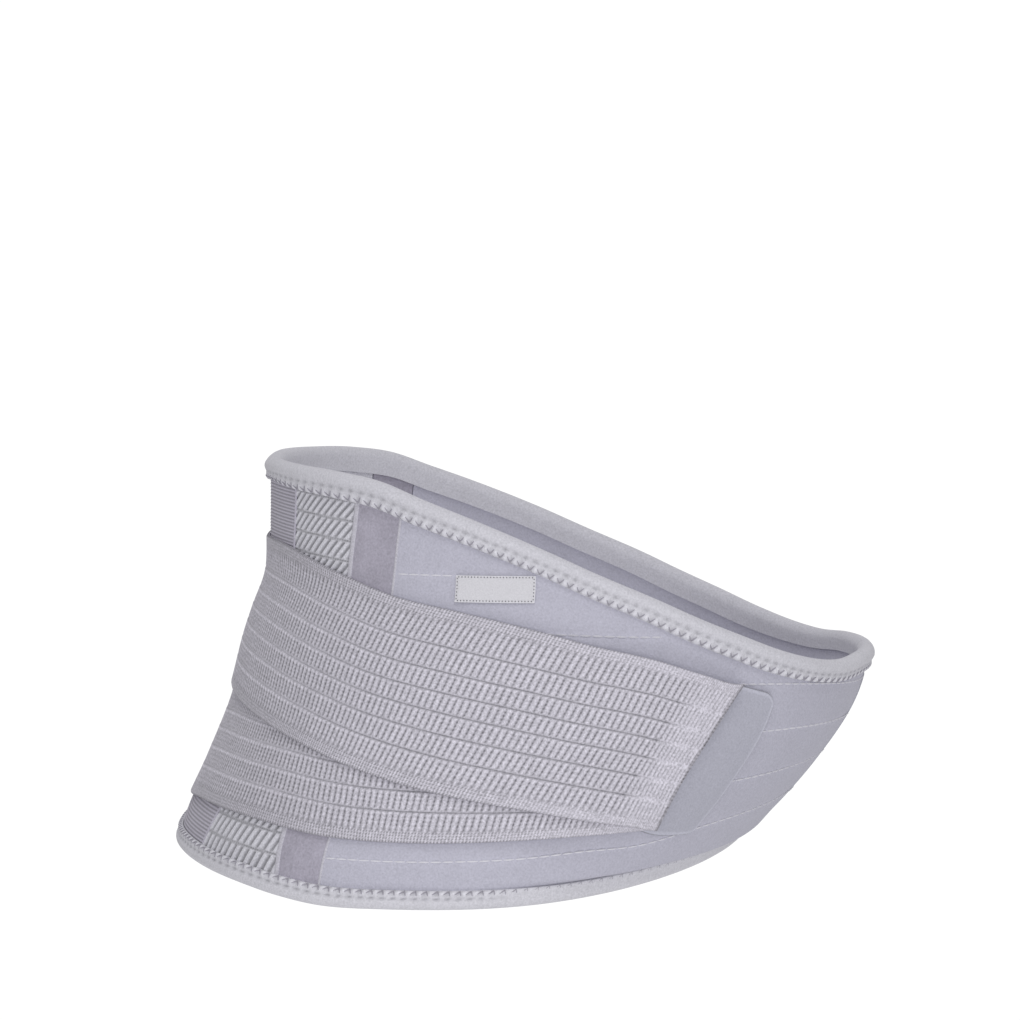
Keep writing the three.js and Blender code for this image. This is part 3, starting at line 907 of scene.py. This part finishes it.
def label():
    """The bare label sewn on the right wing."""
    middle = BELT_HEIGHT * LABEL_MIDDLE
    per_length = turns_in(1, LABEL_TURN, middle)
    across = spread(-LABEL_WIDTH / 2, LABEL_WIDTH / 2, 0.6)[:, None]
    up = spread(-LABEL_HEIGHT / 2, LABEL_HEIGHT / 2, 0.6)[None, :]
    from_rim = np.minimum(LABEL_WIDTH / 2 - np.abs(across), LABEL_HEIGHT / 2 - np.abs(up))
    face = LAYER_GAP + LABEL_WALL
    sink = 0.22 * hump(from_rim - LABEL_INSET, 0.5)
    turn = LABEL_TURN + across * per_length
    height = middle + up
    outer = place(turn, height, face - rim(from_rim, 0.35) - sink)
    inner = place(turn, height, face - LABEL_WALL)
    tone = 1 + 0.12 * hump(from_rim, 0.5)
    piece = shell("sewn_label", outer, inner, tone, SATIN)
    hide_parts("label")
    stitches = label_stitches(middle, per_length, face)


def label_stitches(middle, per_length, face):
    """A row of stitches round the label, a little inside its edge."""
    wide = LABEL_WIDTH / 2 - LABEL_INSET
    tall = LABEL_HEIGHT / 2 - LABEL_INSET
    corners = [(-wide, -tall), (wide, -tall), (wide, tall), (-wide, tall), (-wide, -tall)]
    strands = []
    for (x1, y1), (x2, y2) in pairwise(corners):
        length = math.hypot(x2 - x1, y2 - y1)
        count = round(length / LABEL_STITCH)
        for stitch in (np.arange(count) + 0.5) / count:
            share = stitch + np.array([-0.17, 0, 0.17]) * LABEL_STITCH / length
            turns = LABEL_TURN + (x1 + (x2 - x1) * share) * per_length
            strands.append(place(turns, middle + y1 + (y2 - y1) * share, face - 0.1))
    return threads("label_stitches", strands, LABEL_THREAD, 1.0, GREY_THREAD, sides=4)


# Folded tape round the belt's edges
def tape_relief(up_leg, stitch, size):
    """Puffs between the zigzag's stitches, a row of dents over them, and a scalloped edge."""
    between = 0.5 + 0.5 * np.cos(2 * math.pi * stitch)
    from_dent = np.abs(np.mod(stitch + 0.8, 1) - 0.5)
    point = hump(up_leg - 0.5 * size, 0.7 * size) * hump(np.mod(stitch, 1) - 0.5, 0.16)
    puff = hump(up_leg - 1.5 * size, 1.6 * size) * between
    trough = hump(up_leg - 2.2 * size, 1.4 * size) * (1 - between)
    dent = hump(up_leg - 5.2 * size, 0.9 * size) * (0.2 + 0.8 * hump(from_dent, 0.26))
    outward = PUFF * puff - TROUGH * trough - DENT * dent - rim(up_leg, 0.5)
    scallop = SCALLOP * (1 - between) * (1 - smooth_step(up_leg, 0, 1.6))
    # Painted highlight on the puffs, and painted shade in the troughs, the dents and at each stitch's
    # point.
    tone = 1 + 0.16 * puff - 0.1 * trough - 0.26 * dent - 0.25 * point
    return outward, scallop, tone


class Tape:
    """Tape folded round an edge of the belt, the upper one where up is 1 and the lower one where it is -1.
    Its leg runs from its free edge to the fold, and its relief is as large as its width makes it. In front
    of a turn its stitches hardly sink in."""

    def __init__(self, edge, width, puff, shares, up, plain_from):
        self.edge = edge
        self.width = width
        self.up = up
        self.plain_from = plain_from
        self.size = width / TOP_BINDING_WIDTH
        self.radius = BINDING_HALF + puff
        self.straight = width - self.radius
        self.shown_width = round_the_body(shares, "share", width)
        self.leg = np.concatenate([[0, 0.2, 0.5], spread(0.9, self.straight, 0.6 * self.size)])
        self.fold = np.linspace(0, math.pi, 13)[1:]
        self.inner_leg = spread(self.straight, 0, 3)[1:]

    def up_leg(self):
        """How far up the leg each point of the section is. The fold and the inner leg are far off."""
        beyond = np.full(len(self.fold) + len(self.inner_leg), 99.0)
        return np.concatenate([self.leg, beyond])[None, :]

    def stretch(self, turn):
        """How much longer the leg is at a turn than in the tape's section."""
        return (self.shown_width(turn) - self.radius) / self.straight

    def sunk(self, turn):
        """How far the stitches sink in at a turn, from 0 to 1."""
        return 1 - PLAIN_FADE * smooth_step(turn, self.plain_from, self.plain_from + PLAIN_RAMP)

    def slant(self, turn):
        """How much longer the edge is than the way round the body below it."""
        rise = self.edge(turn + 0.5) - self.edge(turn - 0.5)
        return np.hypot(1, rise * turns_in(1, turn, self.edge(turn)))

    def leaning(self, turn, rise):
        """The turn that a stitch square to the sloping edge gains as it rises up the leg."""
        slope = (self.edge(turn - 0.5) - self.edge(turn + 0.5)) * turns_in(1, turn, self.edge(turn))
        return turns_in(self.up * rise * slope / np.hypot(1, slope), turn, self.edge(turn))

    def stitch_columns(self):
        """Turns at which the tape's columns stand on one side, and the stitch that each is at."""
        last = 180 - turns_in(SEAM_GAP, 180.0, 0.0) / 2
        turns = np.linspace(0, last, RUN_STEPS)
        run = lengths_along(place(turns, self.edge(turns) - self.up * 6, 1.0))
        length = round_the_body(STITCH_LENGTH, "length", 1)(turns)
        return repeat_columns(turns, run, length, STITCH_STEPS)

    def leg_face(self, share):
        """How far out the leg stands, a share of the way up it. The stitches press its free edge down."""
        pressed = LAYER_GAP + BINDING_WALL - TAPE_PRESS * (1 - share)
        return pressed * (1 - share) + (self.radius - WING_WALL / 2) * share

    def section(self, back):
        """The tape's section, so far behind its outer face: distances outward and past the belt's edge."""
        middle = -WING_WALL / 2
        far = -WING_WALL - LAYER_GAP - BINDING_WALL
        share = self.inner_leg / self.straight
        leg_out = self.leg_face(self.leg / self.straight) - back
        fold_out = middle + (self.radius - back) * np.cos(self.fold)
        inner_out = far * (1 - share) + (middle - self.radius) * share + back
        fold_past = -self.radius + (self.radius - back) * np.sin(self.fold)
        past = np.concatenate([self.leg - self.width, fold_past, self.inner_leg - self.width])
        return np.concatenate([leg_out, fold_out, inner_out])[None, :], past[None, :]

    def face(self, turn, back, relief, scallop):
        """Points of the tape so far behind its outer face, with this relief and scallop."""
        outward, past = self.section(back)
        on_leg = np.minimum(past + self.radius, 0)
        past = past + on_leg * self.stretch(turn) - on_leg + scallop
        return place(turn, self.edge(turn) + self.up * self.slant(turn) * past, outward + relief)

    def zigzag(self, name, column, stitch):
        """The zigzag's stitches on the leg, all round the edge."""
        rise = ZIGZAG["rise"] * self.size
        strands = []
        for first in range(round(stitch[-1]) - 1):
            sewn = first + ZIGZAG["stitch"]
            turns = np.interp(sewn, stitch, column)
            sunk = self.sunk(turns[2])
            turns = turns + self.leaning(turns, rise)
            past = rise * self.stretch(turns) - self.shown_width(turns)
            height = self.edge(turns) + self.up * self.slant(turns) * past
            face = self.leg_face(rise / self.straight) + sunk * tape_relief(rise, sewn, self.size)[0]
            lift = THREAD * (1.4 * sunk - 0.9)
            strands += [place(side * turns, height, face + lift) for side, _ in SIDES]
        # The threads' darker colour is painted shade of the grooves that the stitches pull into the tape.
        return threads(name, strands, THREAD, 1.0, GROOVE_SHADE_THREAD, sides=4)


def binding(name, node, tape):
    """A folded tape all round an edge, and the zigzag sewn on it."""
    column, stitch = tape.stitch_columns()
    turn = both_sides(column, -1)[:, None]
    around = np.abs(turn)
    up_leg = tape.up_leg()
    upright = around - tape.leaning(around, np.minimum(up_leg, tape.straight))
    relief, scallop, tone = tape_relief(up_leg, np.interp(upright, column, stitch), tape.size)
    sunk = tape.sunk(around)
    tone = 1 + (tone - 1) * sunk
    outer = tape.face(turn, 0, relief * sunk, scallop * sunk)
    inner = tape.face(turn[::STITCH_STEPS], BINDING_WALL, 0, 0)
    if tape.up < 0:
        outer, inner, tone = (grid[:, ::-1] for grid in (outer, inner, tone))
    piece = shell(name, outer, inner, tone, TAPE)
    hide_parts(node)
    zigzag = tape.zigzag(f"{name}_zigzag", column, stitch)


# Studio
def light(name, spot, aim, size, power):
    lamp = bpy.data.lights.new(name, "AREA")
    lamp.shape = "DISK"
    lamp.size = size
    lamp.energy = power
    holder = bpy.data.objects.new(name, lamp)
    holder.location = spot
    holder.rotation_euler = (Vector(aim) - Vector(spot)).to_track_quat("-Z", "Y").to_euler()
    bpy.context.scene.collection.objects.link(holder)


def studio():
    """White all round, a little brighter where it is seen, with soft lights in front, above and below."""
    scene = bpy.context.scene
    scene.view_settings.view_transform = "Standard"
    scene.view_settings.look = "None"
    world = bpy.data.worlds.new("studio_white")
    world.use_nodes = True
    scene.world = world
    nodes, links = world.node_tree.nodes, world.node_tree.links
    nodes.clear()

    def white(strength):
        background = nodes.new("ShaderNodeBackground")
        background.inputs["Color"].default_value = (1, 1, 1, 1)
        background.inputs["Strength"].default_value = strength
        return background.outputs[0]

    path = nodes.new("ShaderNodeLightPath")
    mix = nodes.new("ShaderNodeMixShader")
    output = nodes.new("ShaderNodeOutputWorld")
    links.new(path.outputs["Is Camera Ray"], mix.inputs[0])
    links.new(white(0.58), mix.inputs[1])
    links.new(white(1.05), mix.inputs[2])
    links.new(mix.outputs[0], output.inputs["Surface"])
    light("front", (0, -2.6, 0), (0, 0, 0), 1.4, 14)
    light("above", (0.3, -1.3, 2.7), (0, 0, 0), 1.4, 20)
    light("below", (0.2, -2, -2), (0, 0, 0), 1.4, 15)


def camera():
    """A long lens at the wearer's right, looking a little down."""
    down, distance = math.radians(4), 2.6
    aim = Vector((-0.0075, 0, 0.0865))
    picture, focal, sensor = 1020, 5200, 36
    lens = bpy.data.cameras.new("camera")
    lens.sensor_width = sensor
    lens.lens = focal * sensor / picture
    lens.clip_start = 0.05
    lens.clip_end = 100
    holder = bpy.data.objects.new("camera", lens)
    holder.location = aim + distance * Vector((0, -math.cos(down), math.sin(down)))
    holder.rotation_euler = (math.radians(90) - down, 0, 0)
    bpy.context.scene.collection.objects.link(holder)
    bpy.context.scene.camera = holder


camera()
studio()
centre_back()
for side, name in SIDES:
    ladder_panel(side, name)
    stay_tape(side, name)
    wing(side, name)
    tab(side, name)
closure()
label()
top_fold = Tape(top_edge, TOP_BINDING_WIDTH, TOP_BINDING_PUFF, TOP_TAPE, 1, 180)
bottom_fold = Tape(bottom_edge, BOTTOM_BINDING_WIDTH, BOTTOM_BINDING_PUFF, BOTTOM_TAPE, -1, 92)
binding("top_tape", "top_binding", top_fold)
binding("bottom_tape", "bottom_binding", bottom_fold)
strap("lower_elastic", "lower_strap", lower_middle, lower_width, LOWER_RIBS, False, STRAP_WIDTH * 0.2)
strap("upper_elastic", "upper_strap", upper_middle, upper_width, UPPER_RIBS, True, 0)
